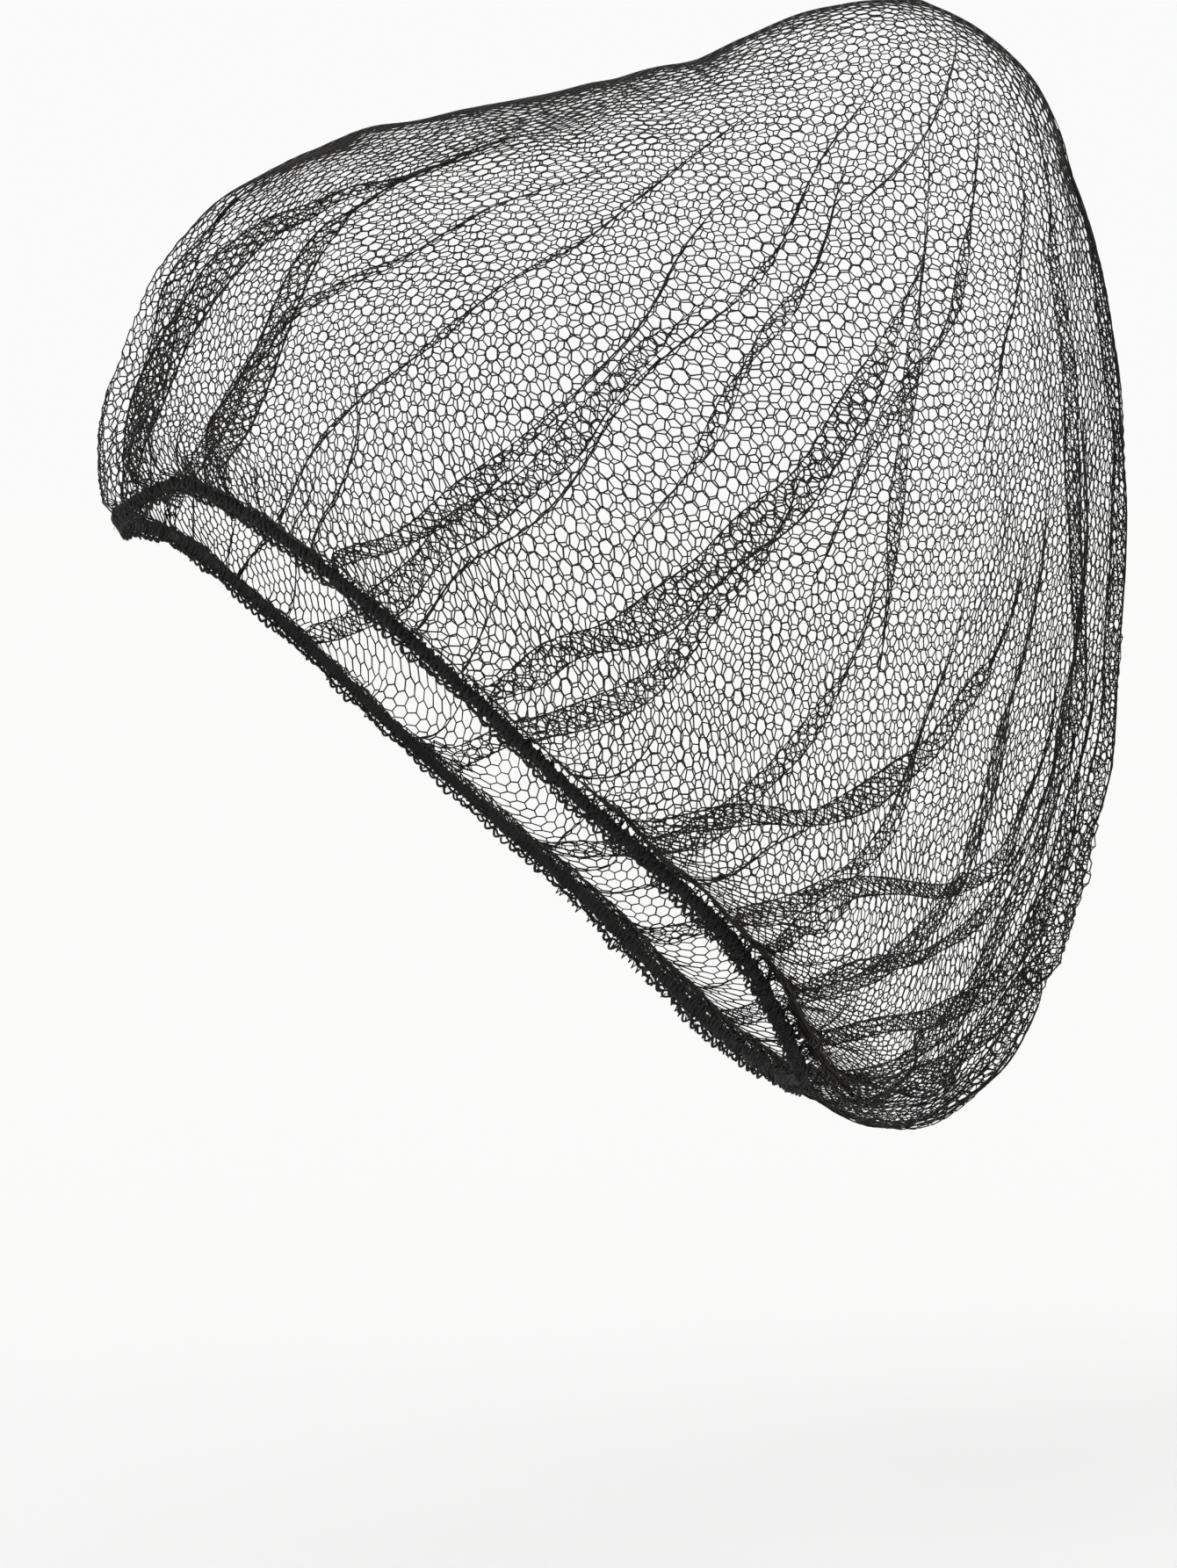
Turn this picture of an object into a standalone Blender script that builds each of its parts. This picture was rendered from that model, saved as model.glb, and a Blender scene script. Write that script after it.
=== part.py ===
"""Hairnet: a bag of open mesh gathered onto a crocheted elastic loop, in its worn form.

Metres, +Z up. The front is -Y, the wearer's left is +X, and the origin is the middle of the
elastic loop. A turn is an angle round the loop in degrees: 0 at the front, 90 at the wearer's
left, 180 at the back and -90 at the right. A rise is the share of the way from the loop, 0, to
the crown of the bag, 1.
"""

import math

import bmesh
import bpy
import numpy as np
from mathutils import Vector

# Elastic loop
LOOP_LENGTH = 0.204  # front to back, along the slant of the loop
LOOP_WIDTH = 0.142  # side to side
LOOP_SLANT = 39.2  # degrees that the back end lies below the front end
LOOP_LIFT = 0.0165  # how far the loop rides up at its highest
ELASTIC_WIDTH = 0.005
ELASTIC_THICKNESS = 0.0022
ELASTIC_EDGE = 0.0005  # rounding along its edges

# Net bag
NET_DEPTH = 0.240  # front to back
NET_HEIGHT = 0.260  # bottom of the sag at the back to the crown
NET_WIDTH = 0.166  # side to side
NET_WALL = 0.001
SEAM_GAP = 0.0003  # between the bag's lower edge and the elastic
FOLD_HEIGHT = 0.0032
FOLD_WIDTH = 0.017

# How finely the walls are divided
COLUMNS = 96
NET_RISES = (0, 0.007, 0.018, 0.034, 0.06, 0.1, 0.15, 0.2, 0.26, 0.32, 0.38)
NET_RISES += (0.45, 0.52, 0.59, 0.66, 0.73, 0.8, 0.86, 0.91, 0.955, 0.985)

# How far the loop rides above a flat oval, as a share of LOOP_LIFT.
# The elastic was pulled on a little askew: it is lowest right of the middle of the front.
LOOP_ROWS = (
    # turn, lift
    (-180, 0.00),
    (-150, 0.14),
    (-120, 0.58),
    (-90, 0.76),
    (-60, 0.88),
    (-35, 0.70),
    (-14, 0.22),
    (0, 0.30),
    (14, 0.88),
    (30, 1.00),
    (60, 0.92),
    (90, 0.66),
    (120, 0.56),
    (150, 0.10),
    (180, 0.00),
)

# Sections of the bag. The front and back points are shares of NET_DEPTH and NET_HEIGHT from the
# origin, the half width a share of NET_WIDTH. Fullness is the power of the oval: 2 is an ellipse.
SECTION_ROWS = (
    # rise, front_y, front_z, back_y, back_z, half_width, fullness
    (0.000, -0.331, 0.259, 0.331, -0.237, 0.431, 2.00),
    (0.007, -0.336, 0.261, 0.338, -0.232, 0.437, 2.00),
    (0.018, -0.340, 0.264, 0.349, -0.241, 0.445, 2.02),
    (0.040, -0.344, 0.279, 0.368, -0.267, 0.458, 2.05),
    (0.070, -0.345, 0.300, 0.411, -0.285, 0.472, 2.08),
    (0.110, -0.344, 0.326, 0.462, -0.283, 0.486, 2.10),
    (0.180, -0.329, 0.377, 0.525, -0.238, 0.496, 2.15),
    (0.270, -0.298, 0.452, 0.588, -0.135, 0.500, 2.15),
    (0.370, -0.229, 0.527, 0.627, -0.012, 0.494, 2.15),
    (0.480, -0.108, 0.583, 0.648, 0.123, 0.468, 2.12),
    (0.580, 0.008, 0.608, 0.654, 0.254, 0.418, 2.10),
    (0.680, 0.125, 0.634, 0.650, 0.377, 0.345, 2.06),
    (0.780, 0.233, 0.660, 0.627, 0.496, 0.280, 2.03),
    (0.870, 0.321, 0.694, 0.590, 0.596, 0.214, 2.00),
    (0.950, 0.390, 0.713, 0.535, 0.673, 0.122, 2.00),
    (1.000, 0.458, 0.716, 0.458, 0.716, 0.000, 2.00),
)

# Folds that run up the bag from the loop. A fold's middle line bends through three turns, at its
# foot, halfway and at its tip. Height and width are shares of FOLD_HEIGHT and FOLD_WIDTH.
FOLD_ROWS = (
    # foot_turn, mid_turn, tip_turn, foot_rise, tip_rise, height, width
    (8, 8, 7, 0.02, 0.38, 1.0, 1.2),
    (26, 31, 33, 0.02, 0.62, 1.0, 1.6),
    (48, 66, 64, 0.02, 0.56, 1.0, 1.0),
    (64, 73, 64, 0.02, 0.80, 0.6, 0.7),
    (74, 84, 91, 0.03, 0.62, 1.2, 1.5),
    (97, 99, 96, 0.36, 0.80, 0.5, 0.7),
    (98, 106, 122, 0.03, 0.45, 1.0, 1.0),
    (113, 122, 135, 0.04, 0.36, 1.0, 0.9),
    (124, 132, 138, 0.04, 0.40, 0.9, 0.9),
    (136, 141, 147, 0.04, 0.42, 0.9, 0.9),
    (150, 150, 156, 0.04, 0.34, 0.9, 0.9),
    (142, 134, 121, 0.38, 0.84, 0.9, 1.1),
    (170, 168, 166, 0.03, 0.70, 0.8, 1.0),
    (-10, -12, -14, 0.02, 0.45, 0.9, 1.1),
    (-30, -38, -40, 0.02, 0.60, 1.0, 1.3),
    (-52, -64, -68, 0.02, 0.70, 1.0, 1.0),
    (-72, -82, -90, 0.03, 0.62, 1.1, 1.4),
    (-93, -100, -112, 0.03, 0.48, 0.9, 1.0),
    (-108, -118, -130, 0.04, 0.42, 1.0, 1.0),
    (-122, -130, -138, 0.04, 0.40, 0.9, 0.9),
    (-136, -144, -148, 0.04, 0.72, 0.8, 1.0),
    (-152, -158, -160, 0.04, 0.50, 0.9, 1.0),
    (-170, -172, -172, 0.03, 0.75, 0.8, 1.0),
)
FOLD_FOOT = 0.12  # share of its length in which a fold rises to its full height

NYLON_COLOUR = (0.012, 0.010, 0.009, 1)
ELASTIC_COLOUR = (0.008, 0.007, 0.007, 1)
NYLON_ROUGHNESS = 0.45
ELASTIC_ROUGHNESS = 0.85


def clear_scene():
    for old in list(bpy.data.objects):
        bpy.data.objects.remove(old, do_unlink=True)


def smooth_column(rows, column, at):
    """A column of a table read at `at`, with a smooth curve through its rows."""
    knots = np.array([row[0] for row in rows], float)
    values = np.array([row[column] for row in rows], float)
    slopes = np.gradient(values, knots)
    index = np.clip(np.searchsorted(knots, at, side="right") - 1, 0, len(knots) - 2)
    span = knots[index + 1] - knots[index]
    t = (np.clip(at, knots[0], knots[-1]) - knots[index]) / span
    return (
        (1 + 2 * t) * (1 - t) ** 2 * values[index]
        + t * (1 - t) ** 2 * span * slopes[index]
        + t * t * (3 - 2 * t) * values[index + 1]
        + t * t * (t - 1) * span * slopes[index + 1]
    )


def wrapped(turn):
    """The same turn between -180 and 180."""
    return (turn + 180) % 360 - 180


def loop_point(turn):
    """A point on the middle line of the elastic."""
    slant = math.radians(LOOP_SLANT)
    angle = math.radians(turn)
    along = -math.cos(angle) * LOOP_LENGTH / 2
    lift = smooth_column(LOOP_ROWS, 1, turn) * LOOP_LIFT
    return Vector(
        (
            math.sin(angle) * LOOP_WIDTH / 2,
            along * math.cos(slant) + lift * math.sin(slant),
            -along * math.sin(slant) + lift * math.cos(slant),
        )
    )


def loop_axes(turn):
    """Which way is outwards, and which way is up across the elastic, at this turn."""
    step = 0.5
    tangent = loop_point(wrapped(turn + step)) - loop_point(wrapped(turn - step))
    out = tangent.cross(Vector((0, 0, 1))).normalized()
    up = out.cross(tangent).normalized()
    if up.z < 0:
        up.negate()
    return out, up


def section_point(turn, rise):
    """A point of the bag before the elastic draws its lower edge in."""
    front_y, front_z, back_y, back_z, half_width, fullness = (
        smooth_column(SECTION_ROWS, column, rise) for column in range(1, 7)
    )
    angle = math.radians(turn)
    ahead = math.copysign(abs(math.cos(angle)) ** (2 / fullness), math.cos(angle))
    aside = math.copysign(abs(math.sin(angle)) ** (2 / fullness), math.sin(angle))
    return Vector(
        (
            aside * half_width * NET_WIDTH,
            ((front_y + back_y) + ahead * (front_y - back_y)) / 2 * NET_DEPTH,
            ((front_z + back_z) + ahead * (front_z - back_z)) / 2 * NET_HEIGHT,
        )
    )


def bag_point(turn, rise):
    """A point of the bag's outer face without its folds."""
    out, up = loop_axes(turn)
    edge = loop_point(turn) + up * (ELASTIC_WIDTH / 2 + SEAM_GAP) + out * NET_WALL / 2
    pull = edge - section_point(turn, 0)
    return section_point(turn, rise) + pull * (1 - rise) ** 2


def fold_height(turn, rise):
    """How far the folds stand out here."""
    around = math.pi * (LOOP_LENGTH + LOOP_WIDTH) / 2
    total = 0
    for foot_turn, mid_turn, tip_turn, foot_rise, tip_rise, height, width in FOLD_ROWS:
        share = (rise - foot_rise) / (tip_rise - foot_rise)
        if share <= 0 or share >= 1:
            continue
        bend = mid_turn - (foot_turn + tip_turn) / 2
        middle = foot_turn + (tip_turn - foot_turn) * share + 4 * bend * share * (1 - share)
        apart = abs(wrapped(turn - middle)) / 360 * around
        ridge = math.exp(-((apart / (width * FOLD_WIDTH / 2)) ** 2))
        fade = min(1, share / FOLD_FOOT) * math.sqrt(1 - share)
        total += height * FOLD_HEIGHT * ridge * fade
    return total


def net_point(turn, rise):
    """A point of the bag's outer face, folds and all."""
    step = 0.004
    across = bag_point(turn + 1, rise) - bag_point(turn - 1, rise)
    upwards = bag_point(turn, min(rise + step, 1)) - bag_point(turn, max(rise - step, 0))
    return bag_point(turn, rise) + across.cross(upwards).normalized() * fold_height(turn, rise)


def turns():
    return [-180 + 360 * i / COLUMNS for i in range(COLUMNS)]


def lofted_mesh(name, rings, tip=None):
    """An open surface through closed rings of points, ending in a point where one is given."""
    mesh = bpy.data.meshes.new(name)
    shape = bmesh.new()
    rows = [[shape.verts.new(point) for point in ring] for ring in rings]
    for lower, upper in zip(rows, rows[1:]):
        for i in range(COLUMNS):
            j = (i + 1) % COLUMNS
            shape.faces.new((lower[i], lower[j], upper[j], upper[i]))
    if tip is not None:
        top = shape.verts.new(tip)
        for i in range(COLUMNS):
            shape.faces.new((rows[-1][i], rows[-1][(i + 1) % COLUMNS], top))
    bmesh.ops.recalc_face_normals(shape, faces=shape.faces)
    shape.to_mesh(mesh)
    shape.free()
    mesh.shade_smooth()
    return mesh


def material(name, colour, roughness):
    made = bpy.data.materials.new(name)
    made.use_nodes = True
    shader = made.node_tree.nodes["Principled BSDF"]
    shader.inputs["Base Color"].default_value = colour
    shader.inputs["Roughness"].default_value = roughness
    shader.inputs["Metallic"].default_value = 0
    return made


def add_piece(name, mesh, collection, finish):
    piece = bpy.data.objects.new(name, mesh)
    mesh.materials.append(finish)
    collection.objects.link(piece)
    return piece


def add_wall(piece, thickness, offset):
    wall = piece.modifiers.new("Wall", "SOLIDIFY")
    wall.thickness = thickness
    wall.offset = offset
    wall.use_even_offset = True
    wall.use_rim = True


def make_net(collection):
    """The bag: a thin open wall from just above the elastic to the crown."""
    rings = [[net_point(turn, rise) for turn in turns()] for rise in NET_RISES]
    mesh = lofted_mesh("net", rings, tip=net_point(0, 1))
    piece = add_piece("net", mesh, collection, material("nylon_mesh", NYLON_COLOUR, NYLON_ROUGHNESS))
    add_wall(piece, NET_WALL, -1)


def make_elastic(collection):
    """The loop: a flat strip of crocheted elastic standing on edge."""
    rings = []
    for side in (-1, 1):
        ring = []
        for turn in turns():
            up = loop_axes(turn)[1]
            ring.append(loop_point(turn) + up * side * ELASTIC_WIDTH / 2)
        rings.append(ring)
    finish = material("elastic_crochet", ELASTIC_COLOUR, ELASTIC_ROUGHNESS)
    piece = add_piece("elastic_band", lofted_mesh("elastic_band", rings), collection, finish)
    add_wall(piece, ELASTIC_THICKNESS, 0)
    rounding = piece.modifiers.new("Rounded edges", "BEVEL")
    rounding.width = ELASTIC_EDGE
    rounding.segments = 1
    rounding.limit_method = "ANGLE"
    rounding.angle_limit = math.radians(50)


def main():
    clear_scene()
    collection = bpy.data.collections.new("hairnet")
    bpy.context.scene.collection.children.link(collection)
    make_net(collection)
    make_elastic(collection)


main()
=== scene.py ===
"""The looks of a worn hairnet: a gathered bag of hexagonal nylon mesh on a crocheted elastic loop.

Metres, +Z up, the front towards -Y and the wearer's left towards +X. A turn is an angle round the
loop in degrees: 0 at the front, 90 at the left, 180 at the back. A rise is the share of the way
from the loop, 0, to the crown, 1. The net is cut flat as a disc of mesh, and reach is the share of
the way from the crown, 0, to the loop, 1, measured along the cloth.
"""

import math

import bpy
import numpy as np
from bpy.props import FloatProperty, FloatVectorProperty, IntProperty, PointerProperty
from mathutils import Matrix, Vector


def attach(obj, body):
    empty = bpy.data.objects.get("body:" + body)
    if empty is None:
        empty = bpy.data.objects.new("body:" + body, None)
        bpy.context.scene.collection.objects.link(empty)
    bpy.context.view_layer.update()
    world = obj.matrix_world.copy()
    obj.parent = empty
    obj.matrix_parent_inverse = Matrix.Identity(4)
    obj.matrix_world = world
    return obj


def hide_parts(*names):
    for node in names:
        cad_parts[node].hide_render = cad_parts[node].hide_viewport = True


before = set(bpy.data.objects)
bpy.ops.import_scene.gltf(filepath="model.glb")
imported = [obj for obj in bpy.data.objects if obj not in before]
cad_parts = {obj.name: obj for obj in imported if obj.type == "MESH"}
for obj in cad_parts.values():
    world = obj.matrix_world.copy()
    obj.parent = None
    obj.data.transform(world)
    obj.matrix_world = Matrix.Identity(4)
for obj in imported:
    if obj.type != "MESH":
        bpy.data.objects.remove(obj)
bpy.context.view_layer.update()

bl_info = {
    "name": "Worn hairnet",
    "version": (1, 0, 0),
    "blender": (4, 5, 0),
    "location": "3D View > Sidebar > Hairnet",
    "description": "Knots a gathered net of nylon mesh and crochets its elastic loop",
    "category": "Object",
}

# Elastic loop, the same sizes as the CAD
LOOP_LENGTH = 0.204
LOOP_WIDTH = 0.142
LOOP_SLANT = 39.2
LOOP_LIFT = 0.0165
ELASTIC_WIDTH = 0.005
LOOP_ROWS = (
    # turn, lift
    (-180, 0.00), (-150, 0.14), (-120, 0.58), (-90, 0.76), (-60, 0.88), (-35, 0.70), (-14, 0.22),
    (0, 0.30), (14, 0.88), (30, 1.00), (60, 0.92), (90, 0.66), (120, 0.56), (150, 0.10), (180, 0.00),
)

# Net bag, the same sizes as the CAD
NET_DEPTH = 0.240
NET_HEIGHT = 0.260
NET_WIDTH = 0.166
NET_WALL = 0.001
SEAM_GAP = 0.0003
SECTION_ROWS = (
    # rise, front_y, front_z, back_y, back_z, half_width, fullness
    (0.000, -0.331, 0.259, 0.331, -0.237, 0.431, 2.00),
    (0.007, -0.336, 0.261, 0.338, -0.232, 0.437, 2.00),
    (0.018, -0.340, 0.264, 0.349, -0.241, 0.445, 2.02),
    (0.040, -0.344, 0.279, 0.368, -0.267, 0.458, 2.05),
    (0.070, -0.345, 0.300, 0.411, -0.285, 0.472, 2.08),
    (0.110, -0.344, 0.326, 0.462, -0.283, 0.486, 2.10),
    (0.180, -0.329, 0.377, 0.525, -0.238, 0.496, 2.15),
    (0.270, -0.298, 0.452, 0.588, -0.135, 0.500, 2.15),
    (0.370, -0.229, 0.527, 0.627, -0.012, 0.494, 2.15),
    (0.480, -0.108, 0.583, 0.648, 0.123, 0.468, 2.12),
    (0.580, 0.008, 0.608, 0.654, 0.254, 0.418, 2.10),
    (0.680, 0.125, 0.634, 0.650, 0.377, 0.345, 2.06),
    (0.780, 0.233, 0.660, 0.627, 0.496, 0.280, 2.03),
    (0.870, 0.321, 0.694, 0.590, 0.596, 0.214, 2.00),
    (0.950, 0.390, 0.713, 0.535, 0.673, 0.122, 2.00),
    (1.000, 0.458, 0.716, 0.458, 0.716, 0.000, 2.00),
)

# The thin crests that the slack cloth stands in along the front and the back. Their left sides
# face CREST_WAY. A sharpness of 0 leaves the bag round there.
CREST_WAY = (0.965, -0.258, 0.052)
CREST_ROWS = (
    # rise, turn and sharpness of the front crest, turn and sharpness of the back crest
    (0.00, -13, 0, 188, 0),
    (0.05, -13, 0.05, 186, 0.05),
    (0.10, -12, 0.50, 175, 0.50),
    (0.15, -11.5, 0.85, 170.5, 0.85),
    (0.20, -11.5, 1, 169.5, 1),
    (0.30, -10.5, 0.8, 168, 1),
    (0.40, -9, 0.3, 167, 1),
    (0.50, -7.5, 0, 166, 1),
    (0.70, -8.5, 0, 164.5, 0.9),
    (0.85, -12.5, 0, 162, 0.45),
    (0.95, -13.5, 0, 159, 0.1),
    (1.00, -13.5, 0, 158, 0),
)

# A sharp crest has this share of its thickness up to so many degrees from its edge, and widens to
# all of it over so many more
CREST_THICKNESS = 0.5
CREST_REACH = 15
CREST_WIDENING = 45

# The flat pleats that the slack of the disc lies in. Each is a row of places up the net, with the
# turn of the pleat's middle and its width in millimetres there.
PLEATS = (
    # (rise, turn, width), from the loop up
    ((0, 7, 10), (.13, 9, 12), (.21, 8.5, 12), (.30, 7, 8), (.38, 6, 0)),
    ((0, 27, 14), (.13, 29, 15), (.22, 31, 13), (.31, 31.5, 8), (.38, 31, 3.5), (.46, 31.5, 2.5),
     (.58, 33, 0)),
    ((0, 46, 3), (.08, 47, 3), (.15, 49, 3), (.21, 48, 2.5), (.26, 44, 0)),
    ((0, 50, 8), (.06, 52, 9), (.14, 57, 9), (.22, 62, 9), (.28, 66, 6), (.34, 68.5, 3.5), (.42, 68.5, 2.5),
     (.50, 65.5, 2), (.60, 63, 0)),
    ((0, 63, 3), (.05, 64, 3.5), (.17, 66, 3.5), (.25, 70, 3.5), (.35, 73, 3.5), (.49, 74, 3), (.60, 72, 3),
     (.72, 67, 2), (.82, 63, 0)),
    ((0, 74, 9), (.09, 76, 10), (.16, 78, 11), (.21, 82, 12), (.31, 88, 12), (.39, 91, 10), (.46, 91, 8),
     (.55, 92, 5), (.66, 91, 0)),
    ((.32, 95, 0), (.39, 96, 3), (.54, 96, 4), (.61, 98, 4), (.69, 98, 3.5), (.76, 96, 2.5), (.84, 94, 0)),
    ((0, 98, 8), (.09, 96, 8), (.14, 99, 8.5), (.20, 107, 9), (.28, 114, 8), (.35, 117, 5), (.42, 120, 2.5),
     (.50, 122, 0)),
    ((0, 104, 4), (.07, 103, 4), (.16, 105, 3), (.22, 109, 0)),
    ((0, 124, 8), (.06, 117, 9), (.12, 113, 10), (.18, 117, 10), (.23, 126, 10), (.28, 133, 8),
     (.33, 134, 5), (.42, 133, 0)),
    ((0, 132, 7), (.10, 122, 8), (.17, 127, 8), (.24, 134, 8), (.30, 137, 6), (.35, 137, 3), (.42, 136, 0)),
    ((0, 146, 7), (.08, 133, 8), (.16, 137, 8), (.22, 144, 8), (.29, 147, 7), (.36, 146, 4), (.45, 144, 0)),
    ((0, 155, 7), (.07, 148, 8), (.13, 147, 8), (.20, 150, 8), (.27, 154, 6), (.36, 156, 0)),
    ((.36, 142, 0), (.41, 140, 4), (.47, 137, 5), (.55, 130, 5.5), (.65, 126, 5), (.72, 122, 3.5),
     (.80, 121, 2), (.88, 120, 0)),
    ((0, 166, 8), (.10, 160, 8), (.22, 158, 7), (.35, 156, 6), (.50, 153, 5), (.68, 150, 4), (.82, 149, 3),
     (.90, 149, 0)),
    ((0, 173, 7), (.08, 175, 6), (.16, 176, 4), (.25, 176, 0)),
    ((.50, 108, 0), (.58, 109, 2), (.70, 110, 2), (.84, 108, 0)),
    ((.62, 78, 0), (.72, 80, 2), (.84, 84, 2), (.93, 88, 0)),
    ((0, -6, 8), (.06, -6, 7), (.12, -6, 5), (.20, -6, 0)),
    ((0, -24, 9), (.12, -30, 11), (.22, -32, 11), (.34, -33, 8), (.46, -34, 4), (.60, -35, 0)),
    ((0, -38, 7), (.12, -43, 9), (.24, -47, 9), (.36, -50, 5), (.50, -52, 2.5), (.66, -53, 0)),
    ((0, -55, 4), (.14, -58, 4), (.30, -63, 3.5), (.48, -66, 3), (.66, -64, 2.5), (.80, -60, 0)),
    ((0, -68, 9), (.12, -72, 11), (.24, -79, 12), (.36, -84, 10), (.48, -86, 6), (.64, -87, 0)),
    ((.34, -97, 0), (.42, -97, 3), (.56, -98, 4), (.68, -97, 3), (.80, -94, 0)),
    ((0, -90, 8), (.10, -91, 9), (.20, -98, 10), (.32, -106, 8), (.42, -110, 4), (.52, -111, 0)),
    ((0, -107, 8), (.10, -108, 9), (.20, -116, 9), (.30, -123, 7), (.40, -126, 3), (.48, -126, 0)),
    ((0, -124, 8), (.10, -122, 9), (.20, -131, 9), (.30, -138, 7), (.40, -140, 3), (.50, -140, 0)),
    ((.38, -131, 0), (.46, -128, 4), (.60, -124, 5), (.72, -119, 3), (.84, -116, 0)),
    ((0, -141, 8), (.10, -138, 9), (.20, -146, 9), (.32, -152, 7), (.46, -154, 3), (.60, -155, 0)),
    ((0, -158, 7), (.10, -156, 8), (.22, -162, 8), (.36, -166, 6), (.52, -167, 3), (.66, -166, 0)),
)

# How many times narrower the cells are than in the flat mesh
NARROWING = (
    # reach, times
    (0, 1), (0.2, 1.0), (0.35, 1.06), (0.5, 1.10), (0.75, 1.14), (1, 1.22),
)

# How much cloth lies at each turn, as a share of an even spread
SPREAD = (
    # turn, share
    (-180, 0.42), (-174, 0.80), (-165, 1.12), (-130, 1.06), (-100, 1.06), (-80, 0.88), (-40, 0.95),
    (-30, 1.15), (-21, 0.48), (-12, 0.15), (-4, 0.26), (4, 0.52), (12, 0.95), (20, 1.15), (28, 1.05),
    (38, 0.88), (75, 0.88), (88, 1.06), (110, 1.08), (130, 1.06), (148, 1.14), (156, 0.78), (163, 0.32),
    (170, 0.22), (176, 0.28), (180, 0.42),
)

# The cloth lies as SPREAD says from this reach to the loop, and more and more evenly to the crown
SPREAD_REACH = 0.5

# How finely the net's surface is measured before the mesh is laid on it
TURN_STEPS = 720
RISE_STEPS = 240
REACH_STEPS = 160
TURNS = np.linspace(-180, 180, TURN_STEPS + 1)
RINGS = np.arange(REACH_STEPS + 1)

MILLIMETRE = 0.001
TINY = 1e-6  # in place of nothing, where nothing can't be divided by

# A pleat narrower than the first is pinched into a line, one wider than the second lies flat, and
# one narrower than the third is left out
PINCHED_WIDTH = 0.0035
FLAT_WIDTH = 0.0065
LEAST_PLEAT = 0.00001

# In widths of the pleat: how much cloth it takes up, how far from its middle it moves the cloth, at
# how many places that is worked out, and how far from its middle a pinched one stands proud
PLEAT_CLOTH = 2.5
PLEAT_SPAN = 1.6
PLEAT_SAMPLES = 641
RIDGE_SPAN = 1.3


def smooth_column(rows, column, at):
    """A column of a table read at `at`, with a smooth curve through its rows."""
    knots = np.array([row[0] for row in rows], float)
    values = np.array([row[column] for row in rows], float)
    slopes = np.gradient(values, knots)
    index = np.clip(np.searchsorted(knots, at, side="right") - 1, 0, len(knots) - 2)
    span = knots[index + 1] - knots[index]
    t = (np.clip(at, knots[0], knots[-1]) - knots[index]) / span
    return (
        (1 + 2 * t) * (1 - t) ** 2 * values[index]
        + t * (1 - t) ** 2 * span * slopes[index]
        + t * t * (3 - 2 * t) * values[index + 1]
        + t * t * (t - 1) * span * slopes[index + 1]
    )


def wrapped(turn):
    """The same turn between -180 and 180."""
    return (turn + 180) % 360 - 180


def unit(vectors):
    """The same directions, each of length 1."""
    length = np.linalg.norm(vectors, axis=-1, keepdims=True)
    return vectors / np.maximum(length, 1e-12)


def eased(share):
    """A share from 0 to 1 that starts and ends slowly."""
    share = np.clip(share, 0, 1)
    return share * share * (3 - 2 * share)


def loop_points(turn):
    """Points on the middle line of the elastic."""
    slant = math.radians(LOOP_SLANT)
    angle = np.radians(turn)
    along = -np.cos(angle) * LOOP_LENGTH / 2
    lift = smooth_column(LOOP_ROWS, 1, turn) * LOOP_LIFT
    return np.stack(
        (
            np.sin(angle) * LOOP_WIDTH / 2,
            along * math.cos(slant) + lift * math.sin(slant),
            -along * math.sin(slant) + lift * math.cos(slant),
        ),
        axis=-1,
    )


def loop_axes(turn):
    """Which way is outwards, and which way is up across the elastic, at these turns."""
    step = 0.5
    tangent = loop_points(wrapped(turn + step)) - loop_points(wrapped(turn - step))
    out = unit(np.cross(tangent, (0, 0, 1)))
    up = unit(np.cross(out, tangent))
    return out, up * np.where(up[..., 2:] < 0, -1, 1)


def section_points(turn, rise):
    """Points of the bag before the elastic draws its lower edge in."""
    front_y, front_z, back_y, back_z, half_width, fullness = (
        smooth_column(SECTION_ROWS, column, rise) for column in range(1, 7)
    )
    angle = np.radians(turn)
    ahead = np.sign(np.cos(angle)) * np.abs(np.cos(angle)) ** (2 / fullness)
    aside = np.sign(np.sin(angle)) * np.abs(np.sin(angle)) ** (2 / fullness)
    points = np.stack(
        (
            aside * half_width * NET_WIDTH,
            ((front_y + back_y) + ahead * (front_y - back_y)) / 2 * NET_DEPTH,
            ((front_z + back_z) + ahead * (front_z - back_z)) / 2 * NET_HEIGHT,
        ),
        axis=-1,
    )
    drawn_in = crest_share(turn, rise) * half_width * NET_WIDTH
    return points + drawn_in[..., None] * np.array(CREST_WAY)


def crest_share(turn, rise):
    """How far the cloth is drawn in towards its crests, as a share of the bag's half width."""
    front, front_sharp, back, back_sharp = (
        smooth_column(CREST_ROWS, column, rise) for column in range(1, 5)
    )
    left = back - front
    past = (turn - front) % 360
    # 0 at the front crest, 1 at the back crest and 2 at the front crest again
    lap = np.where(past < left, past / left, 1 + (past - left) / (360 - left))
    across = np.sin(math.pi * lap)
    off = np.degrees(np.arcsin(np.abs(across)))
    widened = eased((off - CREST_REACH) / CREST_WIDENING)
    thin = np.sign(across) * across ** 2 * (CREST_THICKNESS + (1 - CREST_THICKNESS) * widened)
    at_back = (1 - np.cos(math.pi * lap)) / 2
    return (thin - across) * (front_sharp + (back_sharp - front_sharp) * at_back)


def bag_points(turn, rise):
    """Points of the bag's outer face without its folds."""
    turn, rise = np.broadcast_arrays(turn, rise)
    out, up = loop_axes(turn)
    edge = loop_points(turn) + up * (ELASTIC_WIDTH / 2 + SEAM_GAP) + out * NET_WALL / 2
    pull = edge - section_points(turn, np.zeros_like(rise, float))
    return section_points(turn, rise) + pull * ((1 - rise) ** 2)[..., None]


def bag_normals(turn, rise):
    """Which way the bag's surface faces."""
    aside, step = 1, 0.004
    across = bag_points(wrapped(turn + aside), rise) - bag_points(wrapped(turn - aside), rise)
    above, below = np.minimum(rise + step, 1), np.maximum(rise - step, 0)
    return unit(np.cross(across, bag_points(turn, above) - bag_points(turn, below)))


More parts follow.
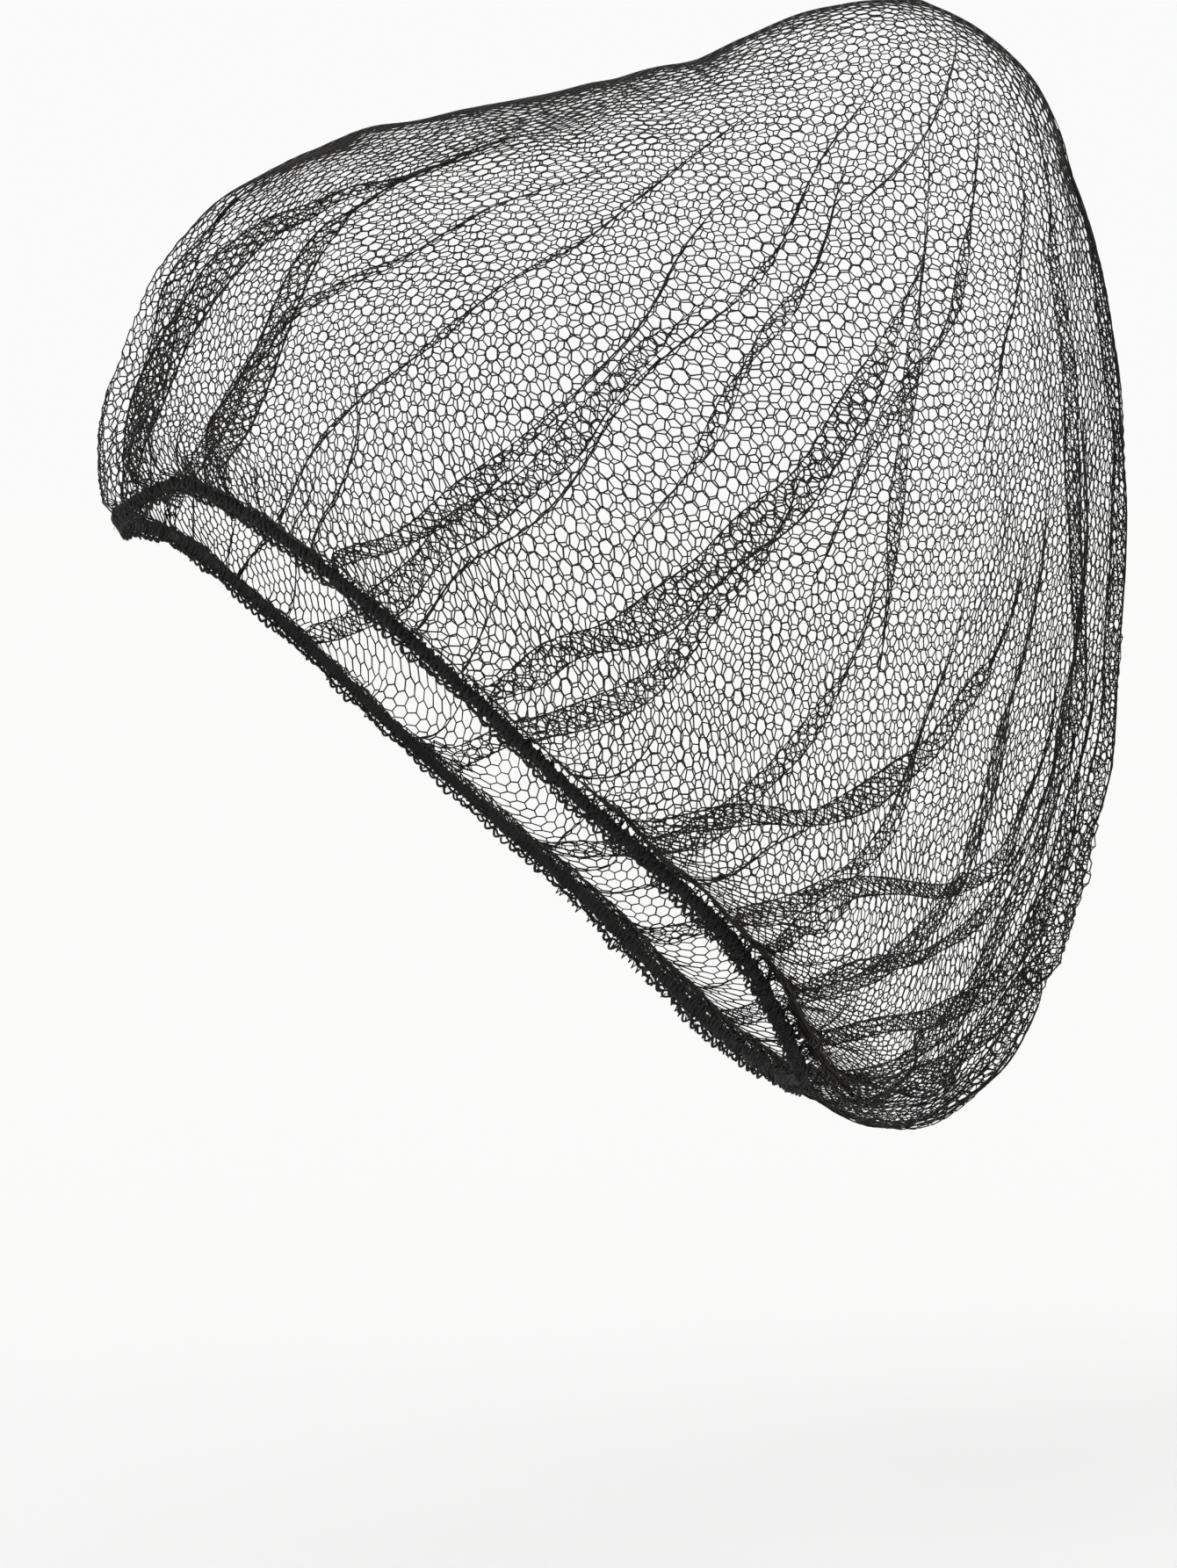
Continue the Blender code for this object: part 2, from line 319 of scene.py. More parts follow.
def turn_row(turn):
    """Where a turn lies among the rows of a table that has a row for each of TURNS."""
    return (turn + 180) / 360 * TURN_STEPS


def read_grid(table, row, column):
    """A table of numbers read between its rows and columns."""
    row = np.clip(row, 0, table.shape[0] - (1 + TINY))
    column = np.clip(column, 0, table.shape[1] - (1 + TINY))
    i, j = row.astype(int), column.astype(int)
    s, t = row - i, column - j
    low = table[i, j] * (1 - t) + table[i, j + 1] * t
    high = table[i + 1, j] * (1 - t) + table[i + 1, j + 1] * t
    return low * (1 - s) + high * s


def soft_noise(points, size, seed):
    """A smooth random number between about -1 and 1 at each point, with waves of this size."""
    random = np.random.default_rng(seed)
    total = np.zeros(len(points))
    waves = 9
    for _ in range(waves):
        direction = unit(random.normal(size=3))
        wave = random.uniform(0.7, 1.5) * 2 * math.pi / size
        total += np.sin(points @ direction * wave + random.uniform(0, 2 * math.pi))
    return total / math.sqrt(waves)


# The net's cloth on the bag


def turned_back(share, places, speeds):
    """How far the cloth has turned back on its way through a pleat, from 0 to 1, at these shares
    of the pleat's width from its middle, when it turns back at these speeds at these places."""
    fine = np.linspace(-PLEAT_SPAN, PLEAT_SPAN, PLEAT_SAMPLES)
    speed = np.interp(np.abs(fine), places, speeds)
    turned = np.concatenate(([0], np.cumsum((speed[1:] + speed[:-1]) / 2)))
    return np.interp(share, fine, turned / turned[-1])


def flat_pleat(share):
    """Three layers with the cloth bunched at both edges."""
    return turned_back(share, (0, 0.30, 0.34, 0.93, 0.99), (1, 1, 0.5, 0.5, 0))


def pinch(share):
    """Cloth drawn together into one dark line."""
    return turned_back(share, (0, 1.2, 1.5), (1, 1, 0))


def pleat_lift(share):
    """Which side of the bag's surface a layer of a pleat lies on: -1 inside to 1 outside."""
    edge = 0.5  # of the pleat, in widths from its middle
    inner = np.clip(np.abs(share) / edge, 0, 1)
    outer = eased((PLEAT_SPAN - np.abs(share)) / (PLEAT_SPAN - edge))
    return np.sign(share) * np.sin(inner * math.pi / 2) * outer


def small_gathers(count, seed):
    """Rows for the short gathers just above the elastic, spaced unevenly all the way round and
    fuller at the back."""
    random = np.random.default_rng(seed)
    rows = []
    for i in range(count):
        turn = -180 + 360 * (i + random.uniform(0.1, 0.9)) / count
        at_back = float(eased((abs(turn) - 110) / 50))
        tip = random.choice([0.06, 0.09, 0.13, 0.19], p=[0.3, 0.35, 0.2, 0.15])
        tip *= random.uniform(0.8, 1.2)
        width = random.uniform(2.2, 4.2) * (1 + 0.6 * at_back)
        lean = random.uniform(-4, 4)
        rows.append(((0, turn, width), (tip / 2, turn + lean / 2, width * 0.6), (tip, turn + lean, 0)))
    return rows


class PleatedCloth:
    """Where each place of the flat disc of mesh lies once it is pleated round the bag."""

    smoothing = 9.0  # degrees over which the cloth in a pleat is shared out on both sides of it
    most_widening = 1.5  # how many times wider a pleat gets where there is cloth to spare

    def __init__(self, settings):
        self.depth = settings.fold_depth
        rows = list(PLEATS) + small_gathers(settings.gather_count, settings.seed)
        self.reaches = np.linspace(0, 1, REACH_STEPS + 1)
        self.measure_meridians()
        self.measure_rings()
        self.lay_pleats(rows, settings.seed)

    def measure_meridians(self):
        """How long the cloth is from crown to loop at each turn, and the rise at each reach."""
        rise = np.linspace(0, 1, RISE_STEPS + 1)
        points = bag_points(TURNS[:, None], rise[None, :])
        steps = np.linalg.norm(np.diff(points, axis=1), axis=2)[:, ::-1]
        from_crown = np.concatenate((np.zeros((len(TURNS), 1)), np.cumsum(steps, axis=1)), axis=1)
        self.length = from_crown[:, -1]
        lines = zip(self.length, from_crown)
        self.rise_at = np.array([np.interp(self.reaches * end, line, rise[::-1]) for end, line in lines])

    def measure_rings(self):
        """How far round each ring of equal reach every turn lies."""
        points = bag_points(TURNS[:, None], self.rise_at)
        steps = np.linalg.norm(np.diff(points, axis=0), axis=2)
        self.around = np.concatenate((np.zeros((1, len(RINGS))), np.cumsum(steps, axis=0)), axis=0)
        self.around[:, 0] = self.around[:, 1] * TINY
        self.girth = self.around[-1]
        share = np.linspace(0, 1, TURN_STEPS + 1)
        rings = zip(self.girth, self.around.T)
        self.turn_at = np.array([np.interp(share * end, ring, TURNS) for end, ring in rings]).T

    def lay_pleats(self, rows, seed):
        """Where each pleat lies and how wide it is on each ring, and the cloth's way through them."""
        random = np.random.default_rng(seed + 1)
        centres, widths = [], []
        for row in rows:
            middle = np.mean([place[1] for place in row])
            rise = self.rise_at[int(round(turn_row(middle)))]
            waver = random.uniform(0.4, 1.0)
            waver *= np.sin(rise * random.uniform(20, 34) + random.uniform(0, 6))
            centre = smooth_column(row, 1, rise) + waver
            inside = (rise >= row[0][0]) & (rise <= row[-1][0])
            width = np.where(inside, np.maximum(smooth_column(row, 2, rise), 0), 0)
            width *= 1 + 0.16 * np.sin(rise * random.uniform(30, 60) + random.uniform(0, 6))
            centres.append(centre)
            widths.append(width * MILLIMETRE)
        centres, widths = np.array(centres), np.array(widths)
        flat_ring = np.concatenate(([0], np.cumsum((self.length[1:] + self.length[:-1]) / 2)))
        flat_ring *= 2 * math.pi / TURN_STEPS
        narrowing = np.interp(self.reaches, *zip(*NARROWING))
        cloth = flat_ring[-1] * self.reaches
        spare = np.maximum(cloth / narrowing - self.girth, 0) / PLEAT_CLOTH
        laid = widths.sum(axis=0)
        widths *= np.clip(spare / np.maximum(laid, TINY), 0, self.most_widening)
        self.widths = widths
        centre_rows = turn_row(wrapped(centres))
        self.centres = np.array([read_grid(self.around, line, RINGS) for line in centre_rows])
        self.path = self.girth + PLEAT_CLOTH * widths.sum(axis=0)
        self.middles = np.empty_like(self.centres)
        self.way = np.empty((len(TURNS), len(RINGS)))
        spread = np.interp(TURNS, *zip(*SPREAD))
        ahead = np.concatenate(([0], np.cumsum(spread[1:] + spread[:-1])))
        ahead = ahead / ahead[-1] * 360 - 180 - TURNS
        for ring, reach in enumerate(self.reaches):
            stepped = self.through_pleats(self.around[:, ring], ring)
            even = self.path[ring] * flat_ring / flat_ring[-1]
            slow = even + self.smoothed(stepped - even)
            spread_turns = TURNS + ahead * eased(reach / SPREAD_REACH)
            self.way[:, ring] = np.interp(TURNS, spread_turns, slow)
            self.middles[:, ring] = self.through_pleats(self.centres[:, ring], ring)
        self.sides = random.choice([-1.0, 1.0], size=len(rows))

    def through_pleats(self, places, ring):
        """How much cloth lies before each of these places on a ring."""
        width = np.maximum(self.widths[:, ring], TINY)
        apart = (places[:, None] - self.centres[None, :, ring]) / width[None, :]
        return places + (PLEAT_CLOTH * self.widths[None, :, ring] * eased(apart + 0.5)).sum(axis=1)

    def smoothed(self, values):
        """The slow part of a ring's values, about as wide as the spacing of the pleats."""
        step, furthest = 360 / TURN_STEPS, 3 * self.smoothing
        offsets = np.arange(-furthest, furthest + step / 2, step)
        weights = np.exp(-((offsets / self.smoothing) ** 2) / 2)
        weights /= weights.sum()
        ring = values[:-1]
        total = np.zeros_like(ring)
        for offset, weight in zip(offsets, weights):
            total += weight * np.roll(ring, int(round(-offset / 360 * TURN_STEPS)))
        return np.append(total, total[0])

    def fold(self, way, path, column):
        """How far the pleats take each place back round its ring, and lift it off the surface."""
        back = np.zeros_like(way)
        lift = np.zeros_like(way)
        for middles, widths, side in zip(self.middles, self.widths, self.sides):
            width = np.interp(column, RINGS, widths)
            used = width > LEAST_PLEAT
            width = np.where(used, width, 1)
            flat = eased((width - PINCHED_WIDTH) / (FLAT_WIDTH - PINCHED_WIDTH))
            apart = way - np.interp(column, RINGS, middles)
            for lap in (-1, 0, 1):
                share = (apart + lap * path) / width
                turned = flat * flat_pleat(share) + (1 - flat) * pinch(share) - (lap < 0)
                back += np.where(used, PLEAT_CLOTH * width * turned, 0)
            share = ((apart + path / 2) % path - path / 2) / width
            layered = side * flat * pleat_lift(share)
            ridge = (1 - flat) * eased(RIDGE_SPAN - np.abs(share))
            lift += np.where(used, np.minimum(self.depth, width / 4) * (layered + ridge), 0)
        return back, lift

    def place(self, radius, turn):
        """Points and outward directions on the bag for places of the flat disc."""
        length = np.interp(turn, TURNS, self.length)
        column = np.clip(radius / length, 0, 1) * REACH_STEPS
        way = read_grid(self.way, turn_row(turn), column)
        path, girth = (np.interp(column, RINGS, ring) for ring in (self.path, self.girth))
        back, lift = self.fold(way, path, column)
        turn = read_grid(self.turn_at, (way - back) / girth % 1 * TURN_STEPS, column)
        rise = read_grid(self.rise_at, turn_row(turn), column)
        under_crown = 0.999  # at the crown itself the surface faces no one way
        normals = bag_normals(turn, np.clip(rise, 0, under_crown))
        points = bag_points(turn, rise) + normals * lift[:, None]
        below = np.maximum(radius - length, 0)
        return points - loop_axes(turn)[1] * below[:, None], normals


# Threads


def mesh_from_quads(name, points, quads, places=None):
    """A smooth mesh of four-sided faces, with texture places at its corners where they are given."""
    mesh = bpy.data.meshes.new(name)
    mesh.vertices.add(len(points))
    mesh.vertices.foreach_set("co", np.asarray(points, np.float32).ravel())
    mesh.loops.add(len(quads) * 4)
    mesh.loops.foreach_set("vertex_index", np.asarray(quads, np.int32).ravel())
    mesh.polygons.add(len(quads))
    mesh.polygons.foreach_set("loop_start", np.arange(0, len(quads) * 4, 4, dtype=np.int32))
    mesh.update(calc_edges=True)
    if places is not None:
        layer = mesh.uv_layers.new(name="Along the yarn")
        layer.data.foreach_set("uv", np.asarray(places, np.float32).ravel())
    mesh.validate()
    mesh.shade_smooth()
    return mesh


def hexagon_knots(pitch, lean, radius):
    """The knots of a flat hexagonal mesh, and for each of three directions its pairs of knots."""
    angle = np.radians(lean + np.array([0, 120, 240]))
    legs = np.stack((np.sin(angle), -np.cos(angle)), axis=1) * pitch / math.sqrt(3)
    first, second = legs[0] - legs[1], legs[0] - legs[2]
    margin = 1.3  # the rows slant, so it takes more of them to fill the disc
    count = int(radius / pitch * margin)
    i, j = np.meshgrid(np.arange(-count, count + 1), np.arange(-count, count + 1), indexing="ij")
    even = i[..., None] * first + j[..., None] * second
    odd = even + legs[0]
    number = np.arange(i.size).reshape(i.shape)
    pairs = [
        (number.ravel(), number.ravel() + i.size),
        (number[1:, :].ravel(), number[:-1, :].ravel() + i.size),
        (number[:, 1:].ravel(), number[:, :-1].ravel() + i.size),
    ]
    return np.concatenate((even.reshape(-1, 2), odd.reshape(-1, 2))), pairs


def disc_places(flat):
    """How far from the crown, and at which turns, places of the flat disc lie."""
    return np.hypot(flat[:, 0], flat[:, 1]), np.degrees(np.arctan2(flat[:, 0], -flat[:, 1]))


def kept_net(knots, pairs, keep):
    """The knots and pairs left when only some knots are kept, without loose ends."""
    while True:
        joins = np.zeros(len(knots), int)
        pairs = [(a[keep[a] & keep[b]], b[keep[a] & keep[b]]) for a, b in pairs]
        for a, b in pairs:
            np.add.at(joins, a, 1)
            np.add.at(joins, b, 1)
        loose = keep & (joins < 2)
        if not loose.any():
            break
        keep = keep & ~loose
    number = np.cumsum(keep) - 1
    return knots[keep], [(number[a], number[b]) for a, b in pairs]


def thread_points(knots, normals, pairs, width):
    """Five points for each knot: above, below, and one in each corner between its threads."""
    legs = np.zeros((len(knots), 3, 3))
    for slot, (a, b) in enumerate(pairs):
        direction = unit(knots[b] - knots[a])
        legs[a, slot] = direction
        legs[b, slot] = -direction
    # A leg is 1 long where there is a thread and 0 where there is none
    missing = np.linalg.norm(legs, axis=2) < 0.5
    filled = unit(-legs.sum(axis=1))
    legs = np.where(missing[..., None], filled[:, None, :], legs)
    following = np.roll(legs, -1, axis=1)
    facing = np.cross(legs, following).sum(axis=1)
    # Legs that are nearly in line span no sure plane, and leave nearly no corner between them
    least_plane, least_corner = 0.35, 0.45
    weak = np.linalg.norm(facing, axis=1) < least_plane
    side = np.where((facing * normals).sum(axis=1) < 0, -1, 1)
    facing = np.where(weak[:, None], normals * side[:, None], unit(facing))
    corner = np.cross(following - legs, facing[:, None, :])
    half_angle = np.linalg.norm(following - legs, axis=2) / 2
    reach = width[:, None] / 2 / np.maximum(half_angle, least_corner)
    corners = knots[:, None, :] + unit(corner) * reach[..., None]
    above = knots + facing * (width / 2)[:, None]
    below = knots - facing * (width / 2)[:, None]
    return np.concatenate((above[:, None], below[:, None], corners), axis=1)


def thread_quads(pairs, chosen):
    """Four faces round each thread between two knots, by the numbers of the knots' five points."""
    quads = []
    for slot, (a, b) in enumerate(pairs):
        a, b = a[chosen[slot]] * 5, b[chosen[slot]] * 5
        corner, corner_before = 2 + slot, 2 + (slot - 1) % 3
        left_a, right_b = a + corner, b + corner
        right_a, left_b = a + corner_before, b + corner_before
        for corners in (
            (a, b, left_b, left_a),
            (b, a, right_a, right_b),
            (b + 1, a + 1, left_a, left_b),
            (a + 1, b + 1, right_b, right_a),
        ):
            quads.append(np.stack(corners, axis=1))
    return np.concatenate(quads)


def tidy_points(points, quads):
    """The same faces with only the points that they use."""
    used, quads = np.unique(quads, return_inverse=True)
    return points[used], quads.reshape(-1, 4)


def yarn(path, radius, sides, out, closed=True):
    """Points, faces and texture places of a round yarn that follows a path."""
    path = np.asarray(path)
    count = len(path)
    if closed:
        ahead = np.roll(path, -1, axis=0) - np.roll(path, 1, axis=0)
    else:
        ahead = np.gradient(path, axis=0)
    tangent = unit(ahead)
    across = unit(out - (out * tangent).sum(axis=1, keepdims=True) * tangent)
    over = np.cross(tangent, across)
    angle = 2 * math.pi * np.arange(sides) / sides
    radius = np.broadcast_to(radius, count)
    rings = path[:, None] + radius[:, None, None] * (
        np.cos(angle)[None, :, None] * across[:, None] + np.sin(angle)[None, :, None] * over[:, None]
    )
    steps = count if closed else count - 1
    low = np.arange(steps)[:, None] * sides
    high = (np.arange(steps)[:, None] + 1) % count * sides
    here, there = np.arange(sides)[None, :], (np.arange(sides)[None, :] + 1) % sides
    quads = np.stack((low + here, low + there, high + there, high + here), axis=-1).reshape(-1, 4)
    gaps = np.linalg.norm(np.diff(np.concatenate((path, path[:1])), axis=0), axis=1)
    along = np.concatenate(([0], np.cumsum(gaps))) / (2 * radius.max())
    side = np.arange(sides + 1) / sides
    u = np.stack((along[:steps], along[:steps], along[1:steps + 1], along[1:steps + 1]), axis=1)
    v = np.stack((side[:-1], side[1:], side[1:], side[:-1]), axis=1)
    places = np.stack(
        (np.repeat(u[:, None, :], sides, axis=1), np.repeat(v[None, :, :], steps, axis=0)), axis=-1
    )
    return rings.reshape(-1, 3), quads, places.reshape(-1, 2)


def joined(yarns):
    """One set of points, faces and texture places from many yarns."""
    start = np.cumsum([0] + [len(points) for points, _, _ in yarns[:-1]])
    points = np.concatenate([each[0] for each in yarns])
    quads = np.concatenate([each[1] + offset for each, offset in zip(yarns, start)])
    return points, quads, np.concatenate([each[2] for each in yarns])


class Crochet:
    """The yarns of the elastic loop."""

    points_per_stitch = 8
    measured_turns = 2401
    cord_height = 0.00065  # how far the plaited cord lies above the middle of the elastic
    # Behind the sides the crochet is this much taller. It starts and stops being so at these turns,
    # over so many degrees.
    extra_height = 0.25
    taller = ((100, 25), (172, 20))
    # How far a strand wavers, how much its thickness changes, and how often round the loop
    waver, waver_waves = 0.00013, (37, 61, 89, 131)
    thick_and_thin, thick_waves = 0.12, 71

    def __init__(self, settings):
        self.stitches, self.fibre_count, self.seed = settings.stitches, settings.fibres, settings.seed
        self.cord_radius, self.wrap_radius = settings.cord, settings.wrap
        self.turn = np.linspace(-180, 180, self.measured_turns)
        steps = np.linalg.norm(np.diff(loop_points(self.turn), axis=0), axis=1)
        self.reach = np.concatenate(([0], np.cumsum(steps)))

    def full(self, share):
        """Where the crochet is at its fullest, 1, behind the sides, and 0 elsewhere."""
        turn = np.abs(np.interp(np.asarray(share) % 1 * self.reach[-1], self.reach, self.turn))
        (start, rising), (end, falling) = self.taller
        return eased((turn - start) / rising) * eased((end - turn) / falling)

    def on_loop(self, share, up, out):
        """Points at shares of the way round, so far up across the elastic and out from it."""
        turn = wrapped(np.interp(np.asarray(share) % 1 * self.reach[-1], self.reach, self.turn))
        outwards, upwards = loop_axes(turn)
        up = up * (1 + self.extra_height * self.full(share))
        out = np.broadcast_to(out, turn.shape)
        return loop_points(turn) + upwards * up[:, None] + outwards * out[:, None], outwards

    def strand(self, up, out, radius, sides, seed):
        """A closed strand that runs round the loop through these heights and depths."""
        random = np.random.default_rng(self.seed + seed)
        share = np.arange(len(up)) / len(up)
        slow = 2 * math.pi * share
        uneven = sum(np.sin(slow * k + random.uniform(0, 6)) for k in self.waver_waves) * self.waver
        path, outwards = self.on_loop(share, up + uneven, out + uneven)
        change = np.sin(slow * self.thick_waves + random.uniform(0, 6))
        return yarn(path, radius * (1 + self.thick_and_thin * change), sides, outwards)

    def angle(self, stitches_a_turn, start):
        """How far a winding strand has turned at each of its points, in radians."""
        count = self.stitches * self.points_per_stitch
        return 2 * math.pi * (np.arange(count) / count * round(self.stitches / stitches_a_turn) + start)

    def cord(self):
        """Three strands plaited round a core."""
        strands = []
        height, depth = 0.0008, 0.00045  # how far a strand swings up and down, and in and out
        for number in range(3):
            angle = self.angle(2, number / 3)
            up = self.cord_height + height * np.cos(angle)
            strands.append(self.strand(up, depth * np.sin(2 * angle), self.cord_radius, 7, number))
        core = np.full(len(angle), self.cord_height)
        core_out, core_radius = -0.0002, 0.0009
        return strands + [self.strand(core, core_out, core_radius, 8, 3)]

    def wraps(self):
        """Yarn wound round the cord, and a strand through each stitch that holds the net."""
        strands = []
        height, depth = 0.0014, 0.0009
        for number in range(2):
            angle = self.angle(1, number / 2)
            up = self.cord_height + height * np.cos(angle)
            strands.append(self.strand(up, depth * np.sin(angle), self.wrap_radius, 6, 10 + number))
        height, middle, depth = 0.0011, 0.00085, 0.0002
        angle = self.angle(1.5, 0.2)
        up = self.cord_height + height * np.sin(angle)
        out = middle + depth * np.cos(2 * angle)
        return strands + [self.strand(up, out, self.wrap_radius, 6, 12)]

    def edge(self):
        """A scalloped strand along the lower edge, and small uneven loops that stand out of it."""
        random = np.random.default_rng(self.seed)
        strands = []
        scallops = ((0.0015, 0.00032), (0.0006, 0.00028))  # depth, and radius of the strand
        top, sway = -0.0010, 0.0002
        for number, (deep, radius) in enumerate(scallops):
            angle = self.angle(1, 0.3 * number)
            slow = angle / self.stitches
            waves = sum(np.sin(slow * k + random.uniform(0, 6)) for k in (7, 13, 19, 31, 43))
            uneven = np.clip(0.75 + 0.25 * waves, 0.15, 1.1)
            up = top - deep * uneven * np.abs(np.sin(angle / 2)) ** 0.8
            strands.append(self.strand(up, sway * np.cos(angle), radius, 6, 20 + number))
        loops_per_stitch, loop_top = 1.5, -0.0014
        count = round(self.stitches * loops_per_stitch)
        round_ = np.linspace(0, math.pi, 8)
        for number in range(count):
            start = (number + random.uniform(-0.2, 0.2)) / count
            full = float(self.full(start))
            if random.random() > 0.22 + 0.7 * full:
                continue
            span = random.uniform(0.35, 0.7) / count
            drop = random.uniform(0.0005, 0.0011) + 0.0006 * full
            share = start + span * (1 - np.cos(round_)) / 2 + span * 0.25 * np.sin(2 * round_)
            out = random.uniform(-0.0004, 0.0006) * np.sin(round_) + 0.0002
            path, outwards = self.on_loop(share, loop_top - drop * np.sin(round_), out)
            strands.append(yarn(path, random.uniform(0.00014, 0.00022), 5, outwards, closed=False))
        return strands

    def fibres(self):
        """Fine loose fibres that curl out of the yarn."""
        random = np.random.default_rng(self.seed + 5)
        radius, root, highest = 0.000025, 0.0006, 0.0021
        t = np.linspace(0, 1, 4)
        loose = []
        for _ in range(self.fibre_count):
            length = random.uniform(0.0004, 0.0012)
            lean, slope = random.uniform(-1, 1), random.uniform(-1, 1)
            share = random.random() + lean * length * t / self.reach[-1]
            share += 0.0004 * random.normal() * t * t
            out = root + 0.6 * length * t * random.uniform(0.2, 1)
            up = random.uniform(-highest, highest) + slope * length * t
            up += 0.4 * length * random.normal() * t * t
            path, outwards = self.on_loop(share, up, out)
            # A little askew, because a fibre may run straight outwards
            loose.append(yarn(path, radius, 3, outwards + 0.01, closed=False))
        return loose


# Finishes


def set_inputs(node, values):
    """Gives a node's inputs their values by name."""
    for label, value in values.items():
        node.inputs[label].default_value = value


def connect(tree, joints):
    """Links an output of one node to an input of another, as each joint says."""
    for source, output, target, entry in joints:
        tree.links.new(source.outputs[output], target.inputs[entry])


def spun_thread_group():
    """Uneven dye, wear and fuzz of a spun thread, built once for the net and the elastic."""
    name = "Spun thread"
    if name in bpy.data.node_groups:
        return bpy.data.node_groups[name]
    group = bpy.data.node_groups.new(name, "ShaderNodeTree")
    sockets = (
        ("Deep colour", "NodeSocketColor", (0.008, 0.007, 0.007, 1)),
        ("Faded colour", "NodeSocketColor", (0.03, 0.026, 0.024, 1)),
        ("Lowest roughness", "NodeSocketFloat", 0.3),
        ("Highest roughness", "NodeSocketFloat", 0.6),
        ("Patch size", "NodeSocketFloat", 60.0),
        ("Grain size", "NodeSocketFloat", 2500.0),
    )
    for label, kind, value in sockets:
        socket = group.interface.new_socket(label, in_out="INPUT", socket_type=kind)
        socket.default_value = value
    group.interface.new_socket("Colour", in_out="OUTPUT", socket_type="NodeSocketColor")
    for label in ("Roughness", "Height"):
        group.interface.new_socket(label, in_out="OUTPUT", socket_type="NodeSocketFloat")
    nodes = group.nodes
    entry = nodes.new("NodeGroupInput")
    leave = nodes.new("NodeGroupOutput")
    place = nodes.new("ShaderNodeTexCoord")
    patches = nodes.new("ShaderNodeTexNoise")
    set_inputs(patches, {"Detail": 3})
    grain = nodes.new("ShaderNodeTexNoise")
    set_inputs(grain, {"Detail": 4, "Roughness": 0.65})
    both = nodes.new("ShaderNodeMath")
    both.operation = "MULTIPLY"
    spread = nodes.new("ShaderNodeMapRange")
    set_inputs(spread, {"From Min": 0.12, "From Max": 0.45})
    dye = nodes.new("ShaderNodeMix")
    dye.data_type = "RGBA"
    gloss = nodes.new("ShaderNodeMapRange")
    set_inputs(gloss, {"From Min": 0.3, "From Max": 0.7})
    joints = (
        (place, "Object", patches, "Vector"),
        (entry, "Patch size", patches, "Scale"),
        (place, "Object", grain, "Vector"),
        (entry, "Grain size", grain, "Scale"),
        (patches, "Fac", both, 0),
        (grain, "Fac", both, 1),
        (both, "Value", spread, "Value"),
        (spread, "Result", dye, "Factor"),
        (entry, "Deep colour", dye, "A"),
        (entry, "Faded colour", dye, "B"),
        (grain, "Fac", gloss, "Value"),
        (entry, "Lowest roughness", gloss, "To Min"),
        (entry, "Highest roughness", gloss, "To Max"),
        (dye, "Result", leave, "Colour"),
        (gloss, "Result", leave, "Roughness"),
        (grain, "Fac", leave, "Height"),
    )
    connect(group, joints)
    return group


def thread_material(name, settings, roughness, patch_size, grain_size, bump_strength, sheen):
    """A black thread whose colour, gloss and bumps come from the spun thread group."""
    made = bpy.data.materials.new(name)
    made.use_nodes = True
    nodes = made.node_tree.nodes
    shader = nodes["Principled BSDF"]
    set_inputs(shader, {"Specular IOR Level": 0.22, "Sheen Weight": sheen, "Sheen Roughness": 0.5})
    thread = nodes.new("ShaderNodeGroup")
    thread.node_tree = spun_thread_group()
    values = {
        "Deep colour": (*settings.colour, 1),
        "Faded colour": (*settings.faded, 1),
        "Lowest roughness": roughness[0],
        "Highest roughness": roughness[1],
        "Patch size": patch_size,
        "Grain size": grain_size,
    }
    set_inputs(thread, values)
    bump = nodes.new("ShaderNodeBump")
    set_inputs(bump, {"Strength": bump_strength, "Distance": 0.0001})
    joints = (
        (thread, "Colour", shader, "Base Color"),
        (thread, "Roughness", shader, "Roughness"),
        (thread, "Height", bump, "Height"),
        (bump, "Normal", shader, "Normal"),
    )
    connect(made.node_tree, joints)
    return made, thread, bump


def nylon_material(settings):
    """Smooth nylon that glints a little."""
    return thread_material(
        "Black nylon thread", settings, roughness=(0.3, 0.55), patch_size=45, grain_size=3000,
        bump_strength=0.4, sheen=0,
    )[0]


def elastic_material(settings):
    """Matte yarn with the turns of its plies as slanting ridges."""
    made, thread, bump = thread_material(
        "Black crocheted yarn", settings, roughness=(0.7, 0.95), patch_size=90, grain_size=4000,
        bump_strength=0.8, sheen=0.08,
    )
    nodes = made.node_tree.nodes
    place = nodes.new("ShaderNodeUVMap")
    place.uv_map = "Along the yarn"
    plies = nodes.new("ShaderNodeTexWave")
    plies.wave_type = "BANDS"
    plies.bands_direction = "DIAGONAL"
    set_inputs(plies, {"Scale": 0.64, "Distortion": 0.6})
    height = nodes.new("ShaderNodeMath")
    height.operation = "ADD"
    joints = (
        (place, "UV", plies, "Vector"),
        (plies, "Fac", height, 0),
        (thread, "Height", height, 1),
        (height, "Value", bump, "Height"),
    )
    connect(made.node_tree, joints)
    return made


# Settings


class HairnetNetSettings(bpy.types.PropertyGroup):
    """The mesh that the bag is cut from, and how it is pleated"""

    pitch: FloatProperty(
        name="Cell", description="Width of a cell of the flat mesh", default=0.0033, unit="LENGTH"
    )
    thread: FloatProperty(
        name="Thread", description="Thickness of the nylon thread", default=0.00035, unit="LENGTH"
    )
    lean: FloatProperty(
        name="Turn of the mesh", description="Turn at which threads run straight up the bag",
        default=math.radians(97), subtype="ANGLE",
    )
    fold_depth: FloatProperty(
        name="Depth of a pleat", description="How far apart the layers of a pleat lie",
        default=0.0007, unit="LENGTH",
    )
    gather_count: IntProperty(
        name="Gathers", description="Short gathers just above the elastic", default=86, min=0
    )
    seed: IntProperty(name="Seed", description="Picks where the short gathers lie", default=7)
    colour: FloatVectorProperty(
        name="Colour", description="Colour of the nylon",
        default=(0.004, 0.0035, 0.0032), subtype="COLOR",
    )
    faded: FloatVectorProperty(
        name="Faded colour", description="Colour where the dye is thin",
        default=(0.016, 0.013, 0.011), subtype="COLOR",
    )


